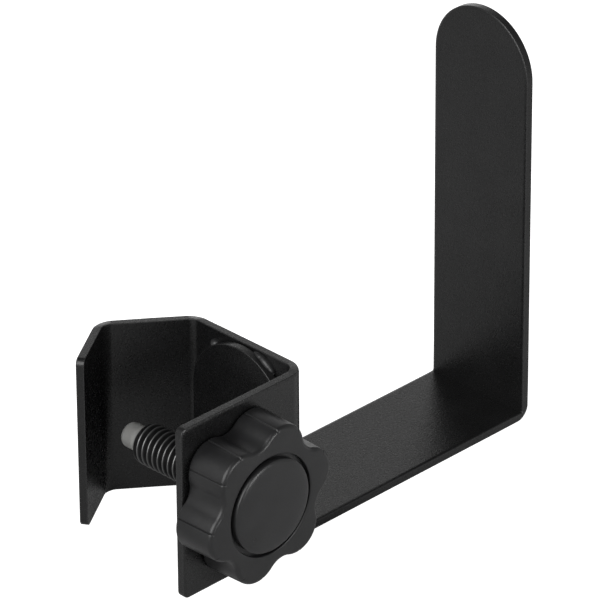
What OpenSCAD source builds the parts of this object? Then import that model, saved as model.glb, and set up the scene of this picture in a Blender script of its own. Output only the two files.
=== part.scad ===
// Clamp-on headphone hook: a V-jaw tube clamp with a star-knob screw, and a U-shaped strip
// that carries the headband. Millimetres, +Z up, +X from the clamp towards the hook,
// +Y from the knob towards the jaw. The origin is on the axis of the clamped tube, level
// with the top of the headband ledge.

/* [Strip steel] */
// Thickness of both steel strips
plate_t = 2; // [1.8:0.1:2.2]
// Inner radius of the clamp's bends
clamp_bend_r = 2.7; // [1.5:0.1:2.7]
// Inner radius of the arm's bend under the tab
tab_bend_r = 1; // [0.8:0.1:1]
// Inner radius of the arm's bend into the hook plate
hook_bend_r = 1.1; // [1:0.1:3]

/* [Clamp] */
// Height of the clamp strip, which stands on edge
clamp_h = 42; // [40:1:48]
// Flange from its free end to the sharp outer corner
flange_l = 38; // [36:0.5:42]
// Side wall between its two sharp outer corners
side_l = 34; // [34:0.5:38]
// Jaw wall next to the side wall, between its sharp outer corners
jaw_side_l = 22.5; // [21:0.5:24]
// Outer jaw wall from its sharp outer corner to the free end
jaw_end_l = 17.8; // [16:0.2:20]
// Bend from the side wall into the jaw
jaw_side_turn = 52; // [50:1:54]
// Bend at the bottom of the V
jaw_mid_turn = 70; // [66:1:74]
// Corner radius at the two free ends of the strip
corner_r = 1.6; // [1:0.2:3]

/* [Arm] */
// Width of the arm strip
bar_w = 28; // [26:1:28]
// Inner face of the hook plate from the side wall's outer face
ledge_l = 72; // [60:1:90]
// Top of the hook plate above the ledge
hook_h = 97; // [80:1:120]
// Welding gap between the arm and the clamp
weld_gap = 0.3; // [0.3:0.05:0.4]
// Top of the tab below the clamp's upper edge
tab_drop = 0.3; // [0.3:0.1:2]
// Near edge of the arm from the flange's outer face
arm_in = 3.5; // [3.5:0.1:4]

/* [Arm welds] */
// Radius of the weld beads on the tab's rounded edge
weld_r = 1.3; // [1:0.1:1.5]
// Place of the short tack on the rounded edge, from the jaw side
tack_angle = 51; // [45:1:60]
// Sweep of the short tack
tack_sweep = 11; // [8:1:14]
// Start of the long bead on the rounded edge
bead_angle = 104; // [100:1:110]
// Sweep of the long bead
bead_sweep = 28; // [15:1:35]

/* [Clamp screw] */
// Major diameter of the screw thread
thread_d = 9.525; // [9.5:0.005:9.55]
// Thread pitch
thread_pitch = 1.5875; // [1.5:0.0125:1.6]
// Screw length under its head
screw_l = 31.75; // [31:0.25:32]
// Screw axis from the side wall's outer face
screw_in = 22.2; // [21:0.1:23]
// Screw axis above the clamp's lower edge
screw_up = 21.5; // [21:0.1:22]
// Width across the flats of the screw head and of the nut
hex_af = 14.2; // [14:0.05:14.3]
// Height of the screw head
head_h = 5.8; // [5.5:0.1:6]
// Height of the weld nut
nut_h = 6.5; // [5:0.1:7]
// Running clearance on the radius of a turning part
run_gap = 0.05; // [0.02:0.01:0.09]
// Radius of the hole in the flange
flange_hole_r = 5; // [4.9:0.05:5.2]
// Size of the beads that hold the nut
nut_bead_r = 1.1; // [0.8:0.1:1.3]

/* [Pressure tip] */
// Diameter of the tip
tip_d = 5.9; // [5:0.1:7]
// Length of the tip in front of the screw
tip_l = 5.55; // [5:0.05:7]
// Radius around the tip's rounded end
tip_round = 1.9; // [1:0.1:2.2]
// Diameter of the tip's shank inside the screw
shank_d = 4; // [3.5:0.1:4.4]
// Length of the tip's shank
shank_l = 4.8; // [4:0.1:6]

/* [Star knob] */
// Radius over the lobes
knob_r = 18.8; // [18.4:0.1:19.2]
// Radius in the valleys
valley_r = 15.2; // [14.8:0.1:15.6]
// Radius of each lobe's rounded end
lobe_r = 6.5; // [6:0.1:7]
// Number of lobes
lobes = 6; // [6:1:6]
// Angle of the first lobe from +X
lobe_phase = 11; // [0:1:30]
// Depth of the knob
knob_l = 10.5; // [10.3:0.1:11]
// Gap between the knob and the flange with the screw run right in
knob_gap = 0.3; // [0.2:0.1:0.6]
// Rounding of the lobes' rims
rim_r = 1.3; // [0.8:0.1:1.6]
// Radius of the recess for the cap
recess_r = 11.9; // [11.6:0.1:12]
// Radius of the cap
cap_r = 11.2; // [11:0.1:11.3]
// Depth of the recess
recess_l = 1.2; // [1:0.1:1.6]
// Height of the cap's dome above its edge
cap_dome = 0.9; // [0.5:0.1:1.5]
// Height of the cap's edge above the knob's face
cap_proud = 0.4; // [0.2:0.1:0.8]

/* [Clamped tube] */
// Diameter of the tube that sets the origin
tube_d = 25; // [20:1:28]

/* [Hidden] */
$fn = 96;

coat = "#1d1d1e";
steel = "#4a4a4c";
nylon = "#c9c9c4";
plastic = "#26262a";

// Smallest overlap between joined shapes
eps = 0.01;
// How far a cut runs past the face it opens
through = 1;
// Degrees by which a bend runs into the flats beside it
bend_lap = 1;

// Bends take up part of each straight length; a step is a length, the turn after it and
// the inner radius of that turn
bend_out = plate_t + clamp_bend_r;
function set_back(turn) = bend_out * tan(turn / 2);
clamp_steps = [
    [flange_l - set_back(90), 90, clamp_bend_r],
    [side_l - set_back(90) - set_back(jaw_side_turn), jaw_side_turn, clamp_bend_r],
    [jaw_side_l - set_back(jaw_side_turn) - set_back(jaw_mid_turn), jaw_mid_turn, clamp_bend_r],
    [jaw_end_l - set_back(jaw_mid_turn)]
];

// The arm stands clear of the clamp by the welding gap, inside it and below it
tab_x = -plate_t - weld_gap;
tab_top = weld_gap + clamp_h - tab_drop;
arm_steps = [
    [tab_top - tab_bend_r, 90, tab_bend_r],
    [ledge_l - tab_x - tab_bend_r - hook_bend_r, 90, hook_bend_r],
    [hook_h - hook_bend_r]
];
tab_r = bar_w / 2;
tab_axis = [arm_in + tab_r, tab_top - tab_r];

// Directions are measured from +X
jaw_side_dir = 90 + jaw_side_turn;
jaw_end_dir = jaw_side_dir + jaw_mid_turn;
function along(angle) = [cos(angle), sin(angle)];
jaw_apex = [0, side_l] + jaw_side_l * along(jaw_side_dir);
half_v = (180 - jaw_mid_turn) / 2;
jaw_inward = along((jaw_side_dir + jaw_end_dir) / 2 + 90);
tube_axis = jaw_apex + (tube_d / 2 + plate_t) / sin(half_v) * jaw_inward;

// Screw stations along Y
knob_back = -knob_gap;
knob_face = knob_back - knob_l;
recess_floor = knob_face + recess_l;
head_seat = recess_floor + head_h;
screw_end = head_seat + screw_l;
screw_z = weld_gap + screw_up;
thread_r = thread_d / 2;
thread_depth = 0.61 * thread_pitch; // as in a unified thread
shaft_hole_r = thread_r + run_gap;
hex_r = hex_af / 2 / cos(30);

// From the clamp's sharp outer corner to the tube's axis
module in_frame() {
    translate([-tube_axis[0], -tube_axis[1], 0]) children();
}

// Turned parts are drawn along +Z, then laid along +Y at the screw's height
module on_screw(y) {
    translate([-screw_in, y, screw_z]) rotate([-90, 0, 0]) children();
}

// A bend in plan. It is a hair thinner than the flats and runs into them, so they join as one
module bend_plan(turn, bend_r) {
    reach = 2 * (plate_t + bend_r);
    intersection() {
        difference() {
            circle(bend_r + plate_t - eps);
            circle(bend_r + eps);
        }
        polygon([[0, 0], for (a = [-bend_lap, turn / 2, turn + bend_lap]) reach * along(a - 90)]);
    }
}

// Moves children from the start of a step's flat to the start of the next one
module past_bend(step) {
    centre_y = plate_t + step[2];
    translate([step[0], centre_y]) rotate(step[1]) translate([0, -centre_y]) children();
}

// A strip bent to its left, in plan
module strip_plan(steps, i = 0) {
    step = steps[i];
    square([step[0], plate_t]);
    if (i < len(steps) - 1) {
        translate([step[0], plate_t + step[2]]) bend_plan(step[1], step[2]);
        past_bend(step) strip_plan(steps, i + 1);
    }
}

// Moves children to the free end of the strip, looking back along it
module at_strip_end(steps, i = 0) {
    if (i < len(steps) - 1)
        past_bend(steps[i]) at_strip_end(steps, i + 1) children();
    else
        translate([steps[i][0], 0]) mirror([1, 0]) children();
}

// What is cut away to leave rounded corners at the end of a strip
module corner_cut(r, width) {
    translate([0, plate_t + through, 0]) rotate([90, 0, 0])
        linear_extrude(plate_t + 2 * through) difference() {
            translate([-through, -through]) square([r + through, width + 2 * through]);
            for (y = [r, width - r]) translate([r, y]) circle(r);
            if (width > 2 * r) translate([0, r]) square([r + through, width - 2 * r]);
        }
}

module bent_strip(steps, width, end_r) difference() {
    linear_extrude(width) strip_plan(steps);
    corner_cut(end_r, width);
    at_strip_end(steps) corner_cut(end_r, width);
}

module clamp_bracket() in_frame() color(coat) difference() {
    translate([-flange_l, 0, weld_gap]) bent_strip(clamp_steps, clamp_h, corner_r);
    on_screw(-through) cylinder(r = flange_hole_r, h = plate_t + 2 * through);
}

// The arm starts at the top of its tab, runs down, under the clamp and up the hook plate
module hook_arm() in_frame() color(coat) {
    translate([tab_x - plate_t, arm_in + bar_w, tab_top]) rotate([90, 90, 0])
        bent_strip(arm_steps, bar_w, tab_r);
}

// A quarter-round bead in the corner between the tab's rounded edge and the side wall
module edge_bead(from, sweep) {
    translate([-plate_t, tab_axis[0], tab_axis[1]]) rotate([90, 0, 90])
        rotate_extrude(angle = sweep, start = from) translate([tab_r, 0]) intersection() {
            circle(weld_r);
            translate([0, -weld_r]) square(weld_r);
        }
}

module arm_welds() in_frame() color(coat) {
    edge_bead(tack_angle - tack_sweep / 2, tack_sweep);
    edge_bead(bead_angle, bead_sweep);
}

module weld_nut() in_frame() color(coat) difference() {
    on_screw(plate_t) cylinder(r = hex_r, h = nut_h, $fn = 6);
    on_screw(plate_t - through) cylinder(r = shaft_hole_r, h = nut_h + 2 * through);
}

// Three quarter-round beads between the flange and every second flat of the nut
module nut_welds() in_frame() color(coat) on_screw(plate_t) {
    for (a = [30 : 120 : 270]) rotate(a) translate([hex_af / 2, hex_r / 4, 0])
        rotate([90, 0, 0]) linear_extrude(hex_r / 2) intersection() {
            circle(nut_bead_r);
            square(nut_bead_r);
        }
}

// One groove of the thread around z; crest and root are flat over these shares of the pitch
root_r = thread_r - thread_depth;
crest_share = 1 / 8;
root_share = 1 / 5;
function groove(z) = [
    [thread_r, z - (1 - crest_share) * thread_pitch / 2],
    [root_r, z - root_share * thread_pitch / 2],
    [root_r, z + root_share * thread_pitch / 2],
    [thread_r, z + (1 - crest_share) * thread_pitch / 2]
];

// The shaft starts inside the head and ends in a chamfer as deep as the thread
grooves = floor((screw_l - thread_depth) / thread_pitch - 0.5);
module threaded_shaft() rotate_extrude() polygon([
    [0, -through],
    [thread_r, -through],
    for (n = [1 : grooves]) each groove(n * thread_pitch),
    [thread_r, screw_l - thread_depth],
    [root_r, screw_l],
    [0, screw_l]
]);

module clamp_screw() in_frame() color(steel) difference() {
    union() {
        on_screw(head_seat) threaded_shaft();
        on_screw(head_seat - head_h) cylinder(r = hex_r, h = head_h, $fn = 6);
    }
    on_screw(screw_end - shank_l - through / 2)
        cylinder(r = shank_d / 2 + run_gap, h = shank_l + through);
}

module pressure_tip() in_frame() color(nylon) {
    on_screw(screw_end - shank_l) cylinder(d = shank_d, h = shank_l + eps);
    on_screw(screw_end) {
        cylinder(d = tip_d, h = tip_l - tip_round);
        cylinder(r = tip_d / 2 - tip_round, h = tip_l);
        translate([0, 0, tip_l - tip_round]) rotate_extrude()
            translate([tip_d / 2 - tip_round, 0]) intersection() {
                circle(tip_round);
                square(tip_round);
            }
    }
}

// Lobe and valley arcs meet tangentially, which fixes the radius of the valley arcs
lobe_at = knob_r - lobe_r;
lobe_step = 360 / lobes;
half_step = lobe_step / 2;
valley_arc = (lobe_at * lobe_at + valley_r * valley_r - lobe_r * lobe_r
              - 2 * lobe_at * valley_r * cos(half_step))
             / (2 * (lobe_r + lobe_at * cos(half_step) - valley_r));
valley_at = valley_r + valley_arc;

module star_outline() {
    difference() {
        polygon([for (k = [0 : 2 * lobes - 1])
            (k % 2 == 0 ? lobe_at : valley_at) * along(k * half_step)]);
        for (k = [0 : lobes - 1]) rotate((k + 0.5) * lobe_step)
            translate([valley_at, 0]) circle(valley_arc);
    }
    for (k = [0 : lobes - 1]) rotate(k * lobe_step) translate([lobe_at, 0]) circle(lobe_r);
}

// A disc whose two rims are rounded, which rounds the lobes' ends
module rounded_disc(r, h, round) {
    cylinder(r = r - round, h = h);
    translate([0, 0, round]) cylinder(r = r, h = h - 2 * round);
    for (z = [round, h - round]) translate([0, 0, z])
        rotate_extrude() translate([r - round, 0]) circle(round);
}

// Drawn from the face backwards, so +Z runs from the face to the flange
module star_knob() in_frame() color(plastic) on_screw(knob_face) difference() {
    intersection() {
        rotate(-lobe_phase) linear_extrude(knob_l) star_outline();
        rounded_disc(knob_r, knob_l, rim_r);
    }
    translate([0, 0, -through]) cylinder(r = recess_r, h = recess_l + through);
    translate([0, 0, recess_l - eps])
        cylinder(r = hex_r + run_gap, h = head_h + eps, $fn = 6);
    cylinder(r = shaft_hole_r, h = knob_l + through);
}

// The dome is the cap of a large sphere
dome_r = (cap_r * cap_r + cap_dome * cap_dome) / (2 * cap_dome);
module knob_cap() in_frame() color(plastic) on_screw(knob_face - cap_proud) {
    cylinder(r = cap_r, h = recess_l + cap_proud);
    intersection() {
        translate([0, 0, dome_r - cap_dome]) sphere(dome_r, $fn = 200);
        translate([0, 0, -cap_dome]) cylinder(r = cap_r, h = cap_dome + eps);
    }
}

clamp_bracket();
hook_arm();
arm_welds();
weld_nut();
nut_welds();
clamp_screw();
pressure_tip();
star_knob();
knob_cap();
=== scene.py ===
"""Looks of the clamp-on headphone hook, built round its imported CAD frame. Metres, +Z up."""

import math

import bmesh
import bpy
import numpy as np
from mathutils import Matrix, Vector


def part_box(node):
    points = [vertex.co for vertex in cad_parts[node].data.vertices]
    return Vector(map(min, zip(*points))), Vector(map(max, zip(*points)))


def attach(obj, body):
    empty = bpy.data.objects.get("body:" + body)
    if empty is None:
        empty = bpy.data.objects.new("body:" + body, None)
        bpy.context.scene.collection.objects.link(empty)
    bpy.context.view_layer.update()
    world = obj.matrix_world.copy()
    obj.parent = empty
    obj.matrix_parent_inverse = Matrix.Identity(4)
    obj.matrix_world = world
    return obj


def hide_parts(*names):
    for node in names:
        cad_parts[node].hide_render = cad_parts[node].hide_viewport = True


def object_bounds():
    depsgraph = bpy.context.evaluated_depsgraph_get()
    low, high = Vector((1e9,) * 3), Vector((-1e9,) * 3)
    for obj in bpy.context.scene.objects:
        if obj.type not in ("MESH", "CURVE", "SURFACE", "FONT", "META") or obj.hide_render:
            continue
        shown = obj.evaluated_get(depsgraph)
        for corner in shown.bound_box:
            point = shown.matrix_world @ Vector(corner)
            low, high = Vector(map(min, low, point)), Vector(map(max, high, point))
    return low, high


MM = 0.001
MERGE = 2e-6  # points nearer than this, in metres, become one

# Sheet steel strips, in mm and degrees
SHEET = 2.0
CLAMP_BEND_R = 2.7
TAB_BEND_R = 1.0
HOOK_BEND_R = 1.1
SIDE_L = 34.0
JAW_SIDE_L = 22.5
JAW_END_L = 17.8
JAW_SIDE_TURN = 52.0
JAW_MID_TURN = 70.0
CORNER_R = 1.6
TAB_DROP = 0.3
ROLLOVER = (0.85, 0.28)  # reach and depth of the rounding on the face the punch enters
BREAK_EDGE = (0.16, 0.16)  # the same on the other face
BEND_BULGE = 0.16  # how far the inside of a bend swells past the strip's edge
HOLE_R = 5.0
HOLE_SINK = (0.3, 0.2)  # depth of the 45 degree countersinks at its two faces
CUT_PAST = 0.2  # how far the hole's cutter stands out of the sheet
SHARP_FOLD = 400.0  # weight of a fold's corner in its inner curve; 1 draws a plain arc

# Welds, in mm and degrees
TACK_ANGLE = 51.0
TACK_SWEEP = 11.0
BEAD_ANGLE = 104.0
BEAD_SWEEP = 28.0
WELD_R = 1.3
LONG_BEAD = 0.75  # thickness of the long bead over that of the tack
BEAD_SUNK = (0.1, 0.25)  # how far a bead's middle lies into the edge and into the wall
NUT_BEAD_R = 1.1
NUT_BEAD_HALF = 2.1
NUT_BEAD_OUT = (0.15, 0.1)  # its middle's distance from the flange and from the nut's flat
RIPPLE = (0.006, 0.8)  # share of a bead's radius and length of one ripple
LUMPS = (0.10, 0.05)  # slow swelling along a bead and round it, as shares of its radius

# Turned parts, in mm
PITCH = 1.5875
THREAD_R = 4.7625
THREAD_DEPTH = 0.61 * PITCH
CREST, ROOT = 1 / 8, 0.2  # shares of the pitch on which crest and root are flat
RUN_GAP = 0.05
HEAD_H = 5.8
HEX_AF = 14.2
HEX_SOFT = 0.056  # taken off the radius at the hexagon's corners
HEX_CHAMFER = 30.0
HEAD_PIT_R = 0.3  # the head's faces start this far from the axis, unseen under the cap
HEAD_OVERLAP = 0.5  # how far the thread runs into the head
BORE_R = 2.15  # the bore that holds the tip's shank
BORE_DEEP = 4.5
BORE_SINK = 0.25
TIP_L = 5.55
SHANK_R = 2.0
TIP_ROUND = 1.6
TIP_BACK = ((0.35, 0), (0.1, 0.12), (0, 0.4))  # steps in from its radius and on from the screw
PARTING = (1.8, 0.1, 0.03)  # the tip's parting line: place, half width and height
GATE = ((0.55, 0.02), (0.4, 0.14), (0.05, 0.16))  # radii and depths of its gate mark
LOBES = 6
LOBE_PHASE = 11.0
LOBE_R = 6.5
VALLEY_R = 15.2
FACE_ROUND = 1.0
BACK_ROUND = 0.6
RECESS_R = 11.9
RECESS_L = 1.2
RECESS_ROUND = 0.32
KNOB_BORE_R = 4.9
BACK_GROOVE = (6.4, 6.6, 8.6, 9.0)  # radii of the moulding groove's two sloping walls
BACK_GROOVE_DEEP = 0.4
KNOB_DRAFT = 0.3  # the back outline is this much bigger than the front one
CREASE_AT = 34.0  # degrees round a lobe's end from its middle
CREASE_DEEP = 0.22
CREASE_HALF = 0.14
CREASE_POINTS = (-0.4, -0.22, -0.12, -0.06, 0, 0.06, 0.12, 0.22, 0.4)  # mm across a crease
CREASE_CLEAR = 0.45  # no even point of the outline lies nearer to a crease than this
CAP_DOME = 0.9
CAP_SLACK = 0.3  # the cap's wall leans in this much from the frame's full radius
CAP_FALL = ((0.5, 2), (0.3, 8), (0.2, 40))  # shares of its fall and their powers of the radius

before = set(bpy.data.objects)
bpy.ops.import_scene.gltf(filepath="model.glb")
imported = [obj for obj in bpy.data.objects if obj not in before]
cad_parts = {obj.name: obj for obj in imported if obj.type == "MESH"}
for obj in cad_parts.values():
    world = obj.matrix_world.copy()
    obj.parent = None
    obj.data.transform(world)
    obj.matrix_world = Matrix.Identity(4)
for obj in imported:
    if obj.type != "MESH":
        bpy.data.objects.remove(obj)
cad_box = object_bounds()


# Meshes

def vec(x, y, z):
    return np.array([x, y, z], float)


def noise_wave(t, seed, waves=5):
    """A smooth pseudo-random curve of t with values within about -1 to 1"""
    rng = np.random.default_rng(seed)
    total = 0.0
    for n in range(1, waves + 1):
        total = total + rng.uniform(-1, 1) * np.sin(n * t + rng.uniform(0, 2 * math.pi)) / n ** 0.5
    return total / 2.0


def piece(name, body, slot_name, material, verts, faces, nodes=(), sharp=40.0):
    """A smooth-shaded mesh from points in mm, which rides on a body and replaces CAD nodes"""
    mesh = bpy.data.meshes.new(name)
    mesh.from_pydata([tuple(c * MM for c in v) for v in verts], [], faces)
    bm = bmesh.new()
    bm.from_mesh(mesh)
    bmesh.ops.remove_doubles(bm, verts=bm.verts, dist=MERGE)
    bmesh.ops.dissolve_degenerate(bm, edges=bm.edges, dist=MERGE / 20)
    bmesh.ops.recalc_face_normals(bm, faces=bm.faces)
    for face in bm.faces:
        face.smooth = True
    limit = math.radians(sharp)
    for edge in bm.edges:
        if len(edge.link_faces) == 2 and edge.calc_face_angle(0.0) > limit:
            edge.smooth = False
    bm.to_mesh(mesh)
    bm.free()
    obj = bpy.data.objects.new(name, mesh)
    bpy.context.scene.collection.objects.link(obj)
    obj.data.materials.append(material)
    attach(obj, body)
    if nodes:
        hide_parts(*nodes)
    return obj


def weigh_normals(obj):
    """Large flat faces keep their own direction and the narrow ones between them shade round"""
    mod = obj.modifiers.new("even_shading", "WEIGHTED_NORMAL")
    mod.keep_sharp = True
    mod.weight = 100


def skin(rings, close_first=True, close_last=True):
    """Quads between closed rings with the same number of points"""
    rings = np.asarray(rings, float)
    count, around = rings.shape[:2]
    verts = list(rings.reshape(-1, 3))
    faces = []
    for k in range(count - 1):
        for j in range(around):
            a, b = k * around + j, k * around + (j + 1) % around
            faces.append((a, b, b + around, a + around))
    for wanted, k in ((close_first, 0), (close_last, count - 1)):
        if wanted:
            centre = len(verts)
            verts.append(rings[k].mean(axis=0))
            for j in range(around):
                faces.append((k * around + j, k * around + (j + 1) % around, centre))
    return verts, faces


def join(*parts):
    """One list of points and faces from several"""
    verts, faces = [], []
    for v, f in parts:
        start = len(verts)
        verts += [np.asarray(p, float) for p in v]
        faces += [tuple(i + start for i in face) for face in f]
    return verts, faces


def arc(cx, cy, r, a0, a1, n):
    """Points of an arc in a plane, its ends included"""
    a = np.radians(np.linspace(a0, a1, n))
    return np.stack([cx + r * np.cos(a), cy + r * np.sin(a)], axis=1)


# Bent strips

class Bent:
    """A strip that runs along its own length, bends to its left, and has its outer face at 0"""

    def __init__(self, origin, ahead, left, across, steps, tight=1.0):
        """Steps are a flat's length, the turn after it and that turn's inner radius"""
        self.tight = tight
        self.axes = [np.array(v, float) for v in (origin, ahead, left, across)]
        self.runs = []
        at, angle, s = np.zeros(2), 0.0, 0.0
        for length, turn, r in steps:
            u = np.array([math.cos(angle), math.sin(angle)])
            self.runs.append((s, s + length, at, angle, None))
            at, s = at + u * length, s + length
            if turn:
                sweep = math.radians(turn)
                arc_l = (r + SHEET / 2) * sweep
                centre = at + (r + SHEET) * np.array([-u[1], u[0]])
                self.runs.append((s, s + arc_l, centre, angle, (r + SHEET, sweep)))
                angle += sweep
                n = np.array([-math.sin(angle), math.cos(angle)])
                at, s = centre - (r + SHEET) * n, s + arc_l
        self.length = s

    def bends(self):
        return [(a, b) for a, b, _, _, bend in self.runs if bend]

    def place(self, s, w, h):
        """Where a point goes that is s along, w across and h above the outer face"""
        for a, b, at, angle, bend in self.runs:
            if s <= b or b == self.runs[-1][1]:
                break
        if bend:
            share = (s - a) / (b - a)
            turn = angle + share * bend[1]
            n = np.array([-math.sin(turn), math.cos(turn)])
            inside = self.inside(at, angle, bend[0] - SHEET, bend[1], share)
            flat = at - n * bend[0] + (inside - at + n * bend[0]) * h / SHEET
        else:
            u = np.array([math.cos(angle), math.sin(angle)])
            flat = at + u * (s - a) + h * np.array([-u[1], u[0]])
        origin, ahead, left, across = self.axes
        return origin + flat[0] * ahead + flat[1] * left + w * across

    def inside(self, centre, angle, r, sweep, share):
        """A point on the inner side of a bend, drawn as a weighted curve through its corner"""
        n0 = np.array([-math.sin(angle), math.cos(angle)])
        n1 = np.array([-math.sin(angle + sweep), math.cos(angle + sweep)])
        start, end = centre - n0 * r, centre - n1 * r
        corner = centre - (n0 + n1) * r / (1 + math.cos(sweep))
        if self.tight == 1.0:
            turn = angle + share * sweep
            return centre - r * np.array([-math.sin(turn), math.cos(turn)])
        w = math.cos(sweep / 2) * self.tight
        parts = (1 - share) ** 2, 2 * w * share * (1 - share), share ** 2
        return (parts[0] * start + parts[1] * corner + parts[2] * end) / sum(parts)

    def swell(self, s, h):
        """How far the edge stands out at a bend: its inside bulges and its outside draws in"""
        out = 0.0
        for a, b in self.bends():
            mid, reach = (a + b) / 2, (b - a) / 2 + SHEET / 2
            if abs(s - mid) < reach:
                out += math.cos((s - mid) / reach * math.pi / 2) ** 2 * (2 * h / SHEET - 1)
        return BEND_BULGE * out


BEND_PARTS, FLAT_PART = 18, 6  # pieces to a bend, and mm to a piece of a flat
ACROSS = (0.04, 0.12, 0.3, 0.5, 0.7, 0.88, 0.96)  # where a face is divided across its width
RIM_POINTS = 7


def strip_stations(strip, width, corner):
    """Places along a strip with the half width there and the outline's lean at the two ends"""
    half_round = corner > width / 3
    angles = np.linspace(0, 90, 33 if half_round else 9)
    near = [(corner * (1 - math.cos(math.radians(a))), a) for a in angles]
    inner = {round(s, 5) for s, _ in near}
    cuts = set()
    for a, b, _, _, bend in strip.runs:
        parts = BEND_PARTS if bend else max(2, int((b - a) / FLAT_PART))
        cuts |= {round(v, 5) for v in np.linspace(a, b, parts + 1)}
    cuts = sorted(c for c in cuts if corner < c < strip.length - corner)
    out = []
    for s, a in near:
        out.append((s, a, -1))
    for s in cuts:
        if s not in inner:
            out.append((s, 90.0, 0))
    for s, a in reversed(near):
        out.append((strip.length - s, a, 1))
    return out


def strip_mesh(strip, width, corner, outer_rim, inner_rim):
    """A strip with rounded ends, as points and faces; a rim is its rounding's reach and depth"""
    stations = strip_stations(strip, width, corner)
    profile = []
    for a in np.linspace(90, 0, RIM_POINTS):
        t = math.radians(a)
        profile.append((outer_rim[0] * (1 - math.cos(t)), outer_rim[1] * (1 - math.sin(t))))
    for a in np.linspace(0, 90, RIM_POINTS):
        t = math.radians(a)
        profile.append((inner_rim[0] * (1 - math.cos(t)),
                        SHEET - inner_rim[1] * (1 - math.sin(t))))
    loop = []
    for side in (-1, 1):
        part = []
        for s, a, end in stations:
            lean = math.radians(a)
            half = width / 2 - corner + corner * math.sin(lean)
            part.append((s, side * half, end * math.cos(lean), side * math.sin(lean)))
        loop += part if side < 0 else part[::-1]
    rings = []
    for inset, h in profile:
        ring = []
        for s, w, ns, nw in loop:
            out = strip.swell(s, h) * nw
            ring.append(strip.place(s - inset * ns, width / 2 + w - inset * nw + out, h))
        rings.append(ring)
    verts, faces = skin(rings, False, False)
    around, count = len(loop), len(stations)
    for k in (0, len(rings) - 1):
        inset, h = profile[k]
        low = [k * around + i for i in range(count)]
        high = [k * around + around - 1 - i for i in range(count)]
        columns = [low]
        for f in ACROSS:
            column = []
            for i, (s, a, end) in enumerate(stations):
                lean = math.radians(a)
                half = width / 2 - corner + corner * math.sin(lean) - inset * math.sin(lean)
                edge = abs(2 * f - 1) ** 6 * strip.swell(s, h)
                w = width / 2 + (2 * f - 1) * (half + edge)
                column.append(len(verts))
                verts.append(strip.place(s - inset * end * math.cos(lean), w, h))
            columns.append(column)
        columns.append(high)
        for p, q in zip(columns, columns[1:]):
            for i in range(count - 1):
                faces.append((p[i], p[i + 1], q[i + 1], q[i]))
    return verts, faces


def cut(obj, verts, faces):
    """Takes a closed shape away from a piece for good"""
    mesh = bpy.data.meshes.new("cutter")
    mesh.from_pydata([tuple(c * MM for c in v) for v in verts], [], faces)
    cutter = bpy.data.objects.new("cutter", mesh)
    bpy.context.scene.collection.objects.link(cutter)
    mod = obj.modifiers.new("cut", "BOOLEAN")
    mod.operation, mod.solver, mod.object = "DIFFERENCE", "EXACT", cutter
    bpy.context.view_layer.update()
    done = bpy.data.meshes.new_from_object(obj.evaluated_get(bpy.context.evaluated_depsgraph_get()))
    obj.modifiers.remove(mod)
    obj.data = done
    for polygon in done.polygons:
        polygon.use_smooth = True
    bpy.data.objects.remove(cutter)


# Parts that turn about the screw's axis

def in_mm(name):
    low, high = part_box(name)
    return np.array(low) / MM, np.array(high) / MM


clamp_lo, clamp_hi = in_mm("clamp_bracket")
arm_lo, arm_hi = in_mm("hook_arm")
nut_lo, nut_hi = in_mm("weld_nut")
screw_lo, screw_hi = in_mm("clamp_screw")
tip_lo, tip_hi = in_mm("pressure_tip")
knob_lo, knob_hi = in_mm("star_knob")
cap_lo, cap_hi = in_mm("knob_cap")
axis_x, axis_z = (screw_lo[0] + screw_hi[0]) / 2, (screw_lo[2] + screw_hi[2]) / 2


def turned(outline, around=96, limit=None):
    """Rings round the screw's axis from pairs of radius and Y; limit caps a radius by angle"""
    rings = []
    for r, y in outline:
        ring = []
        for j in range(around):
            a = 2 * math.pi * j / around
            capped = min(r, limit(a)) if limit else r
            ring.append(vec(axis_x + capped * math.cos(a), y, axis_z + capped * math.sin(a)))
        rings.append(ring)
    return rings


def hex_radius(a):
    """Radius of a hexagon with slightly rounded corners, at an angle"""
    a = a % (math.pi / 3) - math.pi / 6
    return min(HEX_AF / 2 / math.cos(a), HEX_AF / 2 / math.cos(math.pi / 6) - HEX_SOFT)


def hexagon(y0, y1, r_in):
    """Rings of a hexagonal body with chamfered corners and a bore"""
    big = HEX_AF / 2 / math.cos(math.pi / 6)
    flat = HEX_AF / 2 - 0.15  # the chamfer starts just inside the flats
    drop = (big - flat) * math.tan(math.radians(HEX_CHAMFER))
    steps = np.linspace(0, 1, 7)
    outline = [(r_in, y0), (flat, y0)]
    outline += [(flat + (big - flat) * t, y0 + drop * t) for t in steps[1:]]
    outline += [(flat + (big - flat) * t, y1 - drop * t) for t in steps[::-1]]
    outline += [(r_in, y1)]
    return turned(outline, 180, hex_radius)


def ring_solid(rings):
    """A body of rings whose last ring meets its first, such as a nut"""
    rings = list(rings) + [rings[0]]
    return skin(rings, False, False)


# Materials

def new_material(name):
    mat = bpy.data.materials.new(name)
    mat.use_nodes = True
    tree = mat.node_tree
    return mat, tree, tree.nodes["Principled BSDF"]


def node(tree, kind, operation, *inputs):
    """A maths node; each input is a socket to link or a value"""
    made = tree.nodes.new(kind)
    made.operation = operation
    for socket, value in zip(made.inputs, inputs):
        if hasattr(value, "node"):
            tree.links.new(value, socket)
        else:
            socket.default_value = value
    return made.outputs


def millimetres(tree):
    """Object coordinates in millimetres"""
    coord = tree.nodes.new("ShaderNodeTexCoord")
    scale = tree.nodes.new("ShaderNodeMapping")
    scale.inputs["Scale"].default_value = (1 / MM,) * 3
    tree.links.new(coord.outputs["Object"], scale.inputs["Vector"])
    return scale.outputs["Vector"]


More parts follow.
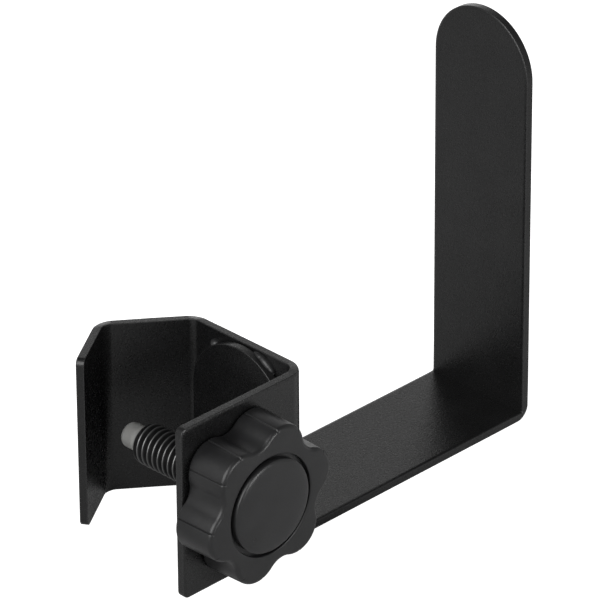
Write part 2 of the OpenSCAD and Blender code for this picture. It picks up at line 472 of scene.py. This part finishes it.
def grain(tree, where, size, detail):
    """Noise whose features are about size mm across"""
    made = tree.nodes.new("ShaderNodeTexNoise")
    made.inputs["Scale"].default_value = 1.0 / size
    made.inputs["Detail"].default_value = detail
    tree.links.new(where, made.inputs["Vector"])
    return made.outputs["Fac"]


def ramp(tree, fac, low, high, v0, v1):
    """Maps fac from low..high to v0..v1"""
    made = tree.nodes.new("ShaderNodeMapRange")
    for key, value in (("From Min", low), ("From Max", high), ("To Min", v0), ("To Max", v1)):
        made.inputs[key].default_value = value
    tree.links.new(fac, made.inputs["Value"])
    return made.outputs["Result"]


def grey(value, tint=0.0):
    """A grey whose blue is stronger by the tint"""
    return value, value, value + tint


def mix_colour(tree, fac, a, b):
    """Goes from a to b, each a colour or a socket, as fac goes from 0 to 1"""
    made = tree.nodes.new("ShaderNodeMix")
    made.data_type = "RGBA"
    colour_in = [s for s in made.inputs if s.type == "RGBA"]
    for socket, value in zip(colour_in, (a, b)):
        if hasattr(value, "node"):
            tree.links.new(value, socket)
        else:
            socket.default_value = (*value, 1.0)
    tree.links.new(fac, made.inputs["Factor"])
    return [s for s in made.outputs if s.type == "RGBA"][0]


def bump(tree, height, distance, strength, under=None):
    """A height map's shading, distance mm deep, on top of another's"""
    made = tree.nodes.new("ShaderNodeBump")
    made.inputs["Distance"].default_value = distance * MM
    made.inputs["Strength"].default_value = strength
    tree.links.new(height, made.inputs["Height"])
    if under:
        tree.links.new(under, made.inputs["Normal"])
    return made.outputs["Normal"]


EDGE_SAMPLES = 4


def painted_edge_highlight(tree, radius):
    """Where a painted highlight goes: 1 near an outer edge, 0 on a flat"""
    bevel = tree.nodes.new("ShaderNodeBevel")
    bevel.samples = EDGE_SAMPLES
    bevel.inputs["Radius"].default_value = radius * MM
    geometry = tree.nodes.new("ShaderNodeNewGeometry")
    same = node(tree, "ShaderNodeVectorMath", "DOT_PRODUCT",
                bevel.outputs["Normal"], geometry.outputs["Normal"])["Value"]
    edge = ramp(tree, same, 0.98, 0.8, 0.0, 1.0)
    # A fold's hollow side has the other face close by, and gets no painted highlight
    near = tree.nodes.new("ShaderNodeAmbientOcclusion")
    near.samples = EDGE_SAMPLES
    near.inputs["Distance"].default_value = 2 * radius * MM
    outer = ramp(tree, near.outputs["AO"], 0.8, 0.95, 0.0, 1.0)
    return node(tree, "ShaderNodeMath", "MULTIPLY", edge, outer)[0]


def finish(shader, tree, base, rough_from, rough, normal):
    """Links a surface's colour, its roughness between two values, and its bumps"""
    tree.links.new(base, shader.inputs["Base Color"])
    tree.links.new(ramp(tree, rough_from, 0.3, 0.7, *rough), shader.inputs["Roughness"])
    tree.links.new(normal, shader.inputs["Normal"])


def powder_coat():
    """Satin black with orange peel, a fine grain, cloudy patches and a painted highlight along its
    outer edges
    """
    mat, tree, shader = new_material("powder_coat")
    where = millimetres(tree)
    cloud = ramp(tree, grain(tree, where, 9.0, 4.0), 0.35, 0.65, 0, 1)
    peel = grain(tree, where, 0.9, 2.0)
    fine = grain(tree, where, 0.3, 2.0)
    base = mix_colour(tree, cloud, grey(0.005, 0.0002), grey(0.0075, 0.0002))
    # Painted highlight: the outer edges are paler
    base = mix_colour(tree, painted_edge_highlight(tree, 0.35), base, grey(0.06, 0.001))
    coat = bump(tree, fine, 0.085, 0.7, bump(tree, peel, 0.05, 0.4))
    finish(shader, tree, base, peel, (0.25, 0.31), coat)
    return mat


def weld_coat():
    """The same coat over a weld, where it is uneven"""
    mat, tree, shader = new_material("weld_coat")
    cloud = grain(tree, millimetres(tree), 0.8, 3.0)
    base = mix_colour(tree, cloud, grey(0.008, 0.0005), grey(0.018, 0.0005))
    finish(shader, tree, base, cloud, (0.24, 0.42), bump(tree, cloud, 0.03, 0.25))
    return mat


def screw_steel():
    """Blackened steel, brighter on the thread's crests, partly rubbed bare and partly a painted
    highlight
    """
    mat, tree, shader = new_material("screw_steel")
    where = millimetres(tree)
    off_axis = node(tree, "ShaderNodeVectorMath", "MULTIPLY_ADD",
                    where, (1, 0, 1), (-axis_x, 0, -axis_z))["Vector"]
    radius = node(tree, "ShaderNodeVectorMath", "LENGTH", off_axis)["Value"]
    crest_wear_and_sheen = ramp(tree, radius, THREAD_R - 0.35, THREAD_R - 0.05, 0.0, 1.0)
    spots = grain(tree, where, 1.6, 4.0)
    base = mix_colour(tree, spots, grey(0.022, 0.001), grey(0.05))
    # Crests paler: partly rubbed bare steel, partly a painted highlight
    base = mix_colour(tree, crest_wear_and_sheen, base, grey(0.16))
    shader.inputs["Metallic"].default_value = 0.85
    finish(shader, tree, base, spots, (0.3, 0.5),
           bump(tree, grain(tree, where, 0.15, 2.0), 0.02, 0.3))
    return mat


def nylon():
    """Milky plastic that light sinks into"""
    mat, tree, shader = new_material("nylon")
    where = millimetres(tree)
    cloud = grain(tree, where, 1.5, 3.0)
    base = mix_colour(tree, cloud, grey(0.18, -0.005), grey(0.23, -0.01))
    shader.inputs["Subsurface Weight"].default_value = 0.35
    shader.inputs["Subsurface Radius"].default_value = (1.2 * MM, 1.1 * MM, 1.0 * MM)
    finish(shader, tree, base, cloud, (0.3, 0.45),
           bump(tree, grain(tree, where, 0.2, 2.0), 0.02, 0.25))
    return mat


def moulded(name, dark, light, rough):
    """Satin black plastic with the fine texture of its mould, and a painted highlight on the edges
    """
    mat, tree, shader = new_material(name)
    where = millimetres(tree)
    cloud = grain(tree, where, 6.0, 4.0)
    fine = grain(tree, where, 0.14, 2.0)
    base = mix_colour(tree, ramp(tree, cloud, 0.35, 0.65, 0, 1), dark, light)
    # Painted highlight: the outer edges are paler
    base = mix_colour(tree, painted_edge_highlight(tree, 0.3), base, tuple(2.2 * c for c in light))
    finish(shader, tree, base, cloud, (rough - 0.03, rough + 0.04), bump(tree, fine, 0.04, 0.6))
    return mat


POWDER = powder_coat()
WELD = weld_coat()
STEEL = screw_steel()
NYLON = nylon()
KNOB = moulded("knob_plastic", grey(0.008, 0.0005), grey(0.012, 0.0005), 0.33)
CAP = moulded("cap_plastic", grey(0.010, 0.0005), grey(0.014, 0.0005), 0.3)


# Clamp strip: flange, side wall, jaw

def set_back(turn, r):
    return (SHEET + r) * math.tan(math.radians(turn) / 2)


flange_l = clamp_hi[0] - clamp_lo[0]
corner_back = set_back(90, CLAMP_BEND_R)
side_back = set_back(JAW_SIDE_TURN, CLAMP_BEND_R)
mid_back = set_back(JAW_MID_TURN, CLAMP_BEND_R)
clamp_strip = Bent(
    clamp_lo, (1, 0, 0), (0, 1, 0), (0, 0, 1),
    [(flange_l - corner_back, 90, CLAMP_BEND_R),
     (SIDE_L - corner_back - side_back, JAW_SIDE_TURN, CLAMP_BEND_R),
     (JAW_SIDE_L - side_back - mid_back, JAW_MID_TURN, CLAMP_BEND_R),
     (JAW_END_L - mid_back, 0, 0)])
clamp_h = clamp_hi[2] - clamp_lo[2]
bracket = piece("clamp_body", "clamp", "powder_coat", POWDER,
                *strip_mesh(clamp_strip, clamp_h, CORNER_R, ROLLOVER, BREAK_EDGE),
                nodes=["clamp_bracket"])
front, back = clamp_lo[1], clamp_lo[1] + SHEET
hole = [(HOLE_R + HOLE_SINK[0] + CUT_PAST, front - CUT_PAST), (HOLE_R, front + HOLE_SINK[0]),
        (HOLE_R, back - HOLE_SINK[1]), (HOLE_R + HOLE_SINK[1] + CUT_PAST, back + CUT_PAST)]
cut(bracket, *skin(turned(hole, 64)))
weigh_normals(bracket)

# Arm strip: tab, ledge, hook plate
arm_w = arm_hi[1] - arm_lo[1]
tab_top = clamp_hi[2] - TAB_DROP
tab_back = SHEET + TAB_BEND_R
hook_back = SHEET + HOOK_BEND_R
arm_strip = Bent(
    (arm_lo[0], arm_hi[1], tab_top), (0, 0, -1), (1, 0, 0), (0, -1, 0),
    [(tab_top - arm_lo[2] - tab_back, 90, TAB_BEND_R),
     (arm_hi[0] - arm_lo[0] - tab_back - hook_back, 90, HOOK_BEND_R),
     (arm_hi[2] - arm_lo[2] - hook_back, 0, 0)], tight=SHARP_FOLD)
arm = piece("hook_strip", "clamp", "powder_coat", POWDER,
            *strip_mesh(arm_strip, arm_w, arm_w / 2, BREAK_EDGE, ROLLOVER),
            nodes=["hook_arm"])
weigh_normals(arm)


# Welds

def bead(path, normals, sides, radius, seed):
    """A lumpy, rippled run of weld along a path of points"""
    count, around = len(path), 16
    rings = []
    length = np.concatenate([[0], np.cumsum(np.linalg.norm(np.diff(path, axis=0), axis=1))])
    for i, (p, n, b) in enumerate(zip(path, normals, sides)):
        t = i / (count - 1)
        end = math.sin(math.pi * min(max(t, 0.02), 0.98)) ** 0.35  # tapers to blunt ends
        ripple = 1 + RIPPLE[0] * math.sin(length[i] * 2 * math.pi / RIPPLE[1])
        swell = 1 + LUMPS[0] * float(noise_wave(5 * t, seed))
        ring = []
        for j in range(around):
            a = 2 * math.pi * j / around
            lump = 1 + LUMPS[1] * float(noise_wave(a + 3 * t, seed + 1, 3))
            r = radius * end * ripple * swell * lump
            ring.append(p + n * (r * math.cos(a)) + b * (r * math.sin(a)))
        rings.append(ring)
    return skin(rings)


wall_x = clamp_hi[0] - SHEET
tab_r = arm_w / 2
tab_y = (arm_lo[1] + arm_hi[1]) / 2
tab_z = tab_top - tab_r


def edge_bead(start, sweep, radius, seed, steps=40):
    """Weld in the corner between the tab's rounded edge and the side wall"""
    path, normals, sides = [], [], []
    for a in np.radians(np.linspace(start, start + sweep, steps)):
        out = vec(0, math.cos(a), math.sin(a))
        path.append(vec(wall_x - BEAD_SUNK[1], tab_y, tab_z) + out * (tab_r - BEAD_SUNK[0]))
        normals.append(out)
        sides.append(vec(-1, 0, 0))
    return bead(np.array(path), normals, sides, radius, seed)


# The CAD sweeps run from +Y towards +Z, which is also how these are drawn
welds = join(edge_bead(TACK_ANGLE - TACK_SWEEP / 2, TACK_SWEEP, WELD_R, 3),
             edge_bead(BEAD_ANGLE, BEAD_SWEEP, LONG_BEAD * WELD_R, 5, 80))
piece("arm_weld_beads", "clamp", "powder_coat", WELD, *welds, nodes=["arm_welds"])


def nut_bead(angle, seed, steps=30):
    """A short bead between the flange and one flat of the nut"""
    a = math.radians(angle)
    out = vec(math.cos(a), 0, math.sin(a))
    along = vec(-math.sin(a), 0, math.cos(a))
    middle = vec(axis_x, nut_lo[1] + NUT_BEAD_OUT[0], axis_z) + out * (HEX_AF / 2 + NUT_BEAD_OUT[1])
    path = np.array([middle + along * t for t in np.linspace(-NUT_BEAD_HALF, NUT_BEAD_HALF, steps)])
    return bead(path, [out] * steps, [vec(0, 1, 0)] * steps, NUT_BEAD_R, seed)


piece("nut_weld_beads", "clamp", "powder_coat", WELD,
      *join(*[nut_bead(-30 - 120 * k, 11 + k) for k in range(3)]), nodes=["nut_welds"])

# Nut
piece("flange_nut", "clamp", "powder_coat", POWDER,
      *ring_solid(hexagon(nut_lo[1], nut_hi[1], THREAD_R + RUN_GAP)),
      nodes=["weld_nut"], sharp=25)


# Screw

def thread_radius(share):
    """Radius at a place in one pitch: flat root, flank, flat crest, flank"""
    d = abs(share % 1.0 - 0.5) * 2
    down = (d - CREST) / (1 - ROOT - CREST)
    return THREAD_R - THREAD_DEPTH * min(max(down, 0.0), 1.0)


def thread_mesh(y0, y1, per_pitch=12, around=72):
    """A right-hand thread as one winding skin; rows a whole pitch apart meet at the seam"""
    rows = int((y1 - y0) / PITCH + 2) * per_pitch
    root = THREAD_R - THREAD_DEPTH
    verts, faces = [], []
    for i in range(rows + 1):
        for j in range(around):
            y = y0 - PITCH + (i / per_pitch + j / around) * PITCH
            a = -2 * math.pi * j / around
            r = thread_radius(i / per_pitch)
            r = min(r, root + max(0.0, y1 - y))
            if y <= y0 or y >= y1:
                r = root
            y = min(max(y, y0), y1)
            verts.append(vec(axis_x + r * math.cos(a), y, axis_z + r * math.sin(a)))
    for i in range(rows):
        for j in range(around):
            a, b = i * around + j, (i + 1) * around + j
            if j < around - 1:
                faces.append((a, a + 1, b + 1, b))
            elif i + 1 + per_pitch <= rows:
                faces.append((a, (i + per_pitch) * around, (i + per_pitch + 1) * around, b))
    return verts, faces


screw_end = tip_hi[1] - TIP_L
head_seat = screw_lo[1] + HEAD_H
# The bored end that holds the tip: a flat, a small countersink and the bore's wall
end_face = skin(turned([(THREAD_R - THREAD_DEPTH, screw_end), (BORE_R + BORE_SINK, screw_end),
                        (BORE_R, screw_end - BORE_SINK), (BORE_R, screw_end - BORE_DEEP)]),
                False, True)
piece("screw_body", "screw", "screw_steel", STEEL,
      *join(skin(hexagon(screw_lo[1], head_seat, HEAD_PIT_R)),
            thread_mesh(head_seat - HEAD_OVERLAP, screw_end), end_face),
      nodes=["clamp_screw"], sharp=35)

# Pressure tip: shank, flange with a parting line round it, rounded nose with a gate mark
tip_r = (tip_hi[0] - tip_lo[0]) / 2
tip_y = tip_hi[1]
line_at, line_half, line_high = PARTING
tip_outline = [(SHANK_R, tip_lo[1]), (SHANK_R, screw_end)]
tip_outline += [(tip_r - inset, screw_end + on) for inset, on in TIP_BACK]
tip_outline += [(tip_r, screw_end + line_at - line_half), (tip_r + line_high, screw_end + line_at),
                (tip_r, screw_end + line_at + line_half)]
tip_outline += list(arc(tip_r - TIP_ROUND, tip_y - TIP_ROUND, TIP_ROUND, 0, 84, 14))
tip_outline += [(r, tip_y - deep) for r, deep in GATE]
piece("nylon_tip", "tip", "nylon", NYLON, *skin(turned(tip_outline, 72)),
      nodes=["pressure_tip"], sharp=50)


# Star knob

def crease_depth(t):
    """How deep the mould line beside a lobe's crest is, at an angle round the lobe's end"""
    off = (abs(t) - math.radians(CREASE_AT)) * LOBE_R
    return CREASE_DEEP * math.exp(-(off / CREASE_HALF) ** 2)


def star_ring(inset, y, per_arc=22, creased=True):
    """The knob's outline moved in by inset; the order of its points never changes"""
    inset += KNOB_DRAFT * (0.5 - (y - face_y) / (back_y - face_y))
    lobe_at = knob_r - LOBE_R
    half = math.pi / LOBES
    valley_arc = ((lobe_at ** 2 + VALLEY_R ** 2 - LOBE_R ** 2
                   - 2 * lobe_at * VALLEY_R * math.cos(half))
                  / (2 * (LOBE_R + lobe_at * math.cos(half) - VALLEY_R)))
    valley_at = VALLEY_R + valley_arc
    lobe_c = np.array([lobe_at, 0.0])
    valley_c = valley_at * np.array([math.cos(half), math.sin(half)])
    reach = valley_c - lobe_c
    swing = math.atan2(reach[1], reach[0])
    inward, lean = half + math.pi, swing - half
    crease, near = math.radians(CREASE_AT), np.array(CREASE_POINTS) / LOBE_R
    spread = [t for t in np.linspace(-swing, swing, per_arc)
              if abs(abs(t) - crease) > CREASE_CLEAR / LOBE_R]
    spread = sorted([*spread, *(near + crease), *(near - crease)])
    pts = []
    for k in range(LOBES):
        turn = 2 * half * k + math.radians(LOBE_PHASE)
        c, s = math.cos(turn), math.sin(turn)
        lobe_pts = [lobe_c + (LOBE_R - inset - creased * crease_depth(t))
                    * np.array([math.cos(t), math.sin(t)]) for t in spread]
        valley_pts = [valley_c + (valley_arc + inset) * np.array([math.cos(t), math.sin(t)])
                      for t in np.linspace(inward + lean, inward - lean, per_arc)[1:-1]]
        for p in lobe_pts + valley_pts:
            pts.append(vec(axis_x + c * p[0] - s * p[1], y, axis_z + s * p[0] + c * p[1]))
    return np.array(pts)


def star_circle(r, y):
    """A circle with as many points as the outline, at the same angles"""
    base = star_ring(0, y, creased=False)
    a = np.arctan2(base[:, 2] - axis_z, base[:, 0] - axis_x)
    return np.stack([axis_x + r * np.cos(a), np.full(len(a), y), axis_z + r * np.sin(a)], axis=1)


knob_r = max(knob_hi[0] - axis_x, knob_hi[2] - axis_z, axis_x - knob_lo[0])
face_y, back_y = knob_lo[1], knob_hi[1]
floor_y = face_y + RECESS_L


def quarter(count):
    """Sine and cosine from 0 to 90 degrees"""
    return [(math.sin(t), math.cos(t)) for t in np.radians(np.linspace(0, 90, count))]


def star_knob():
    """From the hole in the recess's floor out over the face, down the side and back in"""
    rings = [star_circle(KNOB_BORE_R, floor_y), star_circle(RECESS_R, floor_y),
             star_circle(RECESS_R, face_y + RECESS_ROUND)]
    for s, c in quarter(5)[1:]:
        rings.append(star_circle(RECESS_R + RECESS_ROUND * (1 - c),
                                 face_y + RECESS_ROUND * (1 - s)))
    rings.append(star_circle(RECESS_R + 2.5 * RECESS_ROUND, face_y))
    for s, c in quarter(9):
        rings.append(star_ring(FACE_ROUND * (1 - s), face_y + FACE_ROUND * (1 - c)))
    rings.append(star_ring(0, (face_y + back_y) / 2))
    for s, c in quarter(6):
        rings.append(star_ring(BACK_ROUND * (1 - c), back_y - BACK_ROUND * (1 - s)))
    for r, deep in zip(reversed(BACK_GROOVE), (0, BACK_GROOVE_DEEP, BACK_GROOVE_DEEP, 0)):
        rings.append(star_circle(r, back_y - deep))
    rings.append(star_circle(KNOB_BORE_R, back_y))
    rings.append(star_circle(KNOB_BORE_R, floor_y))
    return skin(rings, False, False)


piece("knob_body", "screw", "knob_plastic", KNOB, *star_knob(),
      nodes=["star_knob"], sharp=50)

# Cap over the screw's head: a shallow dome with a full shoulder and an upright edge
cap_r = (cap_hi[0] - cap_lo[0]) / 2 - CAP_SLACK
cap_top = cap_lo[1]
cap_edge = cap_top + CAP_DOME
cap_outline = [(cap_r - 0.3, floor_y), (cap_r, floor_y - 0.2), (cap_r, cap_edge)]
for t in np.linspace(0, 1, 26)[1:]:
    r = (cap_r - 0.02) * math.cos(t * math.pi / 2) ** 0.7 + 0.02
    share = r / cap_r
    fall = sum(part * share ** power for part, power in CAP_FALL)
    cap_outline.append((r, cap_top + CAP_DOME * fall))
piece("knob_cover", "screw", "cap_plastic", CAP, *skin(turned(cap_outline, 128)),
      nodes=["knob_cap"], sharp=50)


# Studio: a pale floor, a white surround and soft lights

# Degrees, and mm from the object
AZIMUTH = 44.93
ELEVATION = 29.0
ROLL = -0.36
DISTANCE = 1298.1
FOCAL_SHARE = 5906 / 600  # focal length over the picture's width
SENSOR = 36.0
LOOK_OFF_CENTRE = vec(3.535, 5.197, -5.195)
FLOOR_REACH = 900.0
FLOOR_GAP = 0.05
BACKDROP_SPREAD = (0.92, 0.99)  # cosines from the view's direction where it fades in and is full
LEFT_TOWARD = (-0.86, -0.2, 0.46)
LEFT_SPREAD = (0.3, 0.95)

az, el, roll = (math.radians(v) for v in (AZIMUTH, ELEVATION, ROLL))
behind = (math.sin(az), math.cos(az), 0)
lo, hi = (np.array(v) / MM for v in cad_box)
centre = (lo + hi) / 2


def lit_by_ray(tree, seen, felt):
    """A strength that the camera sees, and another, from a socket, that lights the object"""
    path = tree.nodes.new("ShaderNodeLightPath")
    made = ramp(tree, path.outputs["Is Camera Ray"], 0.0, 1.0, 0.0, seen)
    tree.links.new(felt, made.node.inputs["To Min"])
    return made


def floor_material():
    mat, tree, shader = new_material("studio_floor")
    where = millimetres(tree)
    # Painted light: its colour is paler to the right of the object, as if more light fell there
    place = tree.nodes.new("ShaderNodeSeparateXYZ")
    tree.links.new(where, place.inputs[0])
    side = ramp(tree, place.outputs["X"], -45.0, 60.0, 0.0, 1.0)
    tree.links.new(mix_colour(tree, side, grey(0.5), grey(0.72)), shader.inputs["Base Color"])
    shader.inputs["Roughness"].default_value = 0.9
    shader.inputs["Emission Color"].default_value = (1, 1, 1, 1)
    # The sweep of white behind the object is brighter than the floor under it
    away = node(tree, "ShaderNodeVectorMath", "DOT_PRODUCT", where, behind)["Value"]
    far = ramp(tree, away, 90.0, 320.0, 0.0, 0.6)
    tree.links.new(lit_by_ray(tree, 1.0, far), shader.inputs["Emission Strength"])
    return mat


floor_mesh = bpy.data.meshes.new("studio_floor")
grid = bmesh.new()
grid.faces.new([grid.verts.new((x * FLOOR_REACH * MM, y * FLOOR_REACH * MM,
                                (lo[2] - FLOOR_GAP) * MM))
                for x, y in ((-1, -1), (1, -1), (1, 1), (-1, 1))])
grid.to_mesh(floor_mesh)
grid.free()
floor = bpy.data.objects.new("studio_floor", floor_mesh)
bpy.context.scene.collection.objects.link(floor)
floor.data.materials.append(floor_material())

world = bpy.data.worlds.new("studio")
bpy.context.scene.world = world
world.use_nodes = True
sky_tree = world.node_tree
background = sky_tree.nodes["Background"]
background.inputs["Color"].default_value = (1, 1, 1, 1)
direction = sky_tree.nodes.new("ShaderNodeTexCoord").outputs["Generated"]
height = sky_tree.nodes.new("ShaderNodeSeparateXYZ")
sky_tree.links.new(direction, height.inputs[0])
# Dimmer overhead than round about, with the white sweep behind and a wide soft light on the left
felt = ramp(sky_tree, height.outputs["Z"], 0.5, 0.8, 0.34, 0.13)
for toward, spread, gain in ((behind, BACKDROP_SPREAD, 0.9), (LEFT_TOWARD, LEFT_SPREAD, 0.5)):
    facing = node(sky_tree, "ShaderNodeVectorMath", "DOT_PRODUCT", direction, toward)["Value"]
    glow = ramp(sky_tree, facing, *spread, 0.0, gain)
    felt = node(sky_tree, "ShaderNodeMath", "ADD", felt, glow)[0]
sky_tree.links.new(lit_by_ray(sky_tree, 1.0, felt), background.inputs["Strength"])


def area_light(name, distance, toward, aim, size, power):
    """A soft box, that far from the object's middle and turned to a point off that middle"""
    light = bpy.data.lights.new(name, "AREA")
    light.shape, light.size, light.energy = "DISK", size * MM, power
    obj = bpy.data.objects.new(name, light)
    bpy.context.scene.collection.objects.link(obj)
    obj.location = Vector(centre + distance * vec(*toward)) * MM
    look = Vector(centre + vec(*aim)) * MM - obj.location
    obj.rotation_mode = "QUATERNION"
    obj.rotation_quaternion = look.to_track_quat("-Z", "Y")


area_light("back_box", 700, (0.62, 0.6, 0.45), (0, 0, 0), 700, 0.2)
area_light("front_box", 480, (0.1, -0.98, 0.14), (0, -20, -40), 170, 0.6)
area_light("left_box", 480, LEFT_TOWARD, (-60, -20, -60), 420, 1.5)

ahead = vec(math.sin(az) * math.cos(el), math.cos(az) * math.cos(el), -math.sin(el))
level = vec(math.cos(az), -math.sin(az), 0)
upright = np.cross(level, ahead)
right = level * math.cos(roll) + upright * math.sin(roll)
up = upright * math.cos(roll) - level * math.sin(roll)
camera_data = bpy.data.cameras.new("photo_camera")
camera_data.sensor_width = SENSOR
camera_data.lens = FOCAL_SHARE * SENSOR
camera_data.clip_start, camera_data.clip_end = 0.01, 20
camera = bpy.data.objects.new("photo_camera", camera_data)
bpy.context.scene.collection.objects.link(camera)
pose = Matrix((right, up, -ahead)).transposed().to_4x4()
pose.translation = Vector(centre + LOOK_OFF_CENTRE - ahead * DISTANCE) * MM
camera.matrix_world = pose
bpy.context.scene.camera = camera
bpy.context.scene.view_settings.view_transform = "Standard"
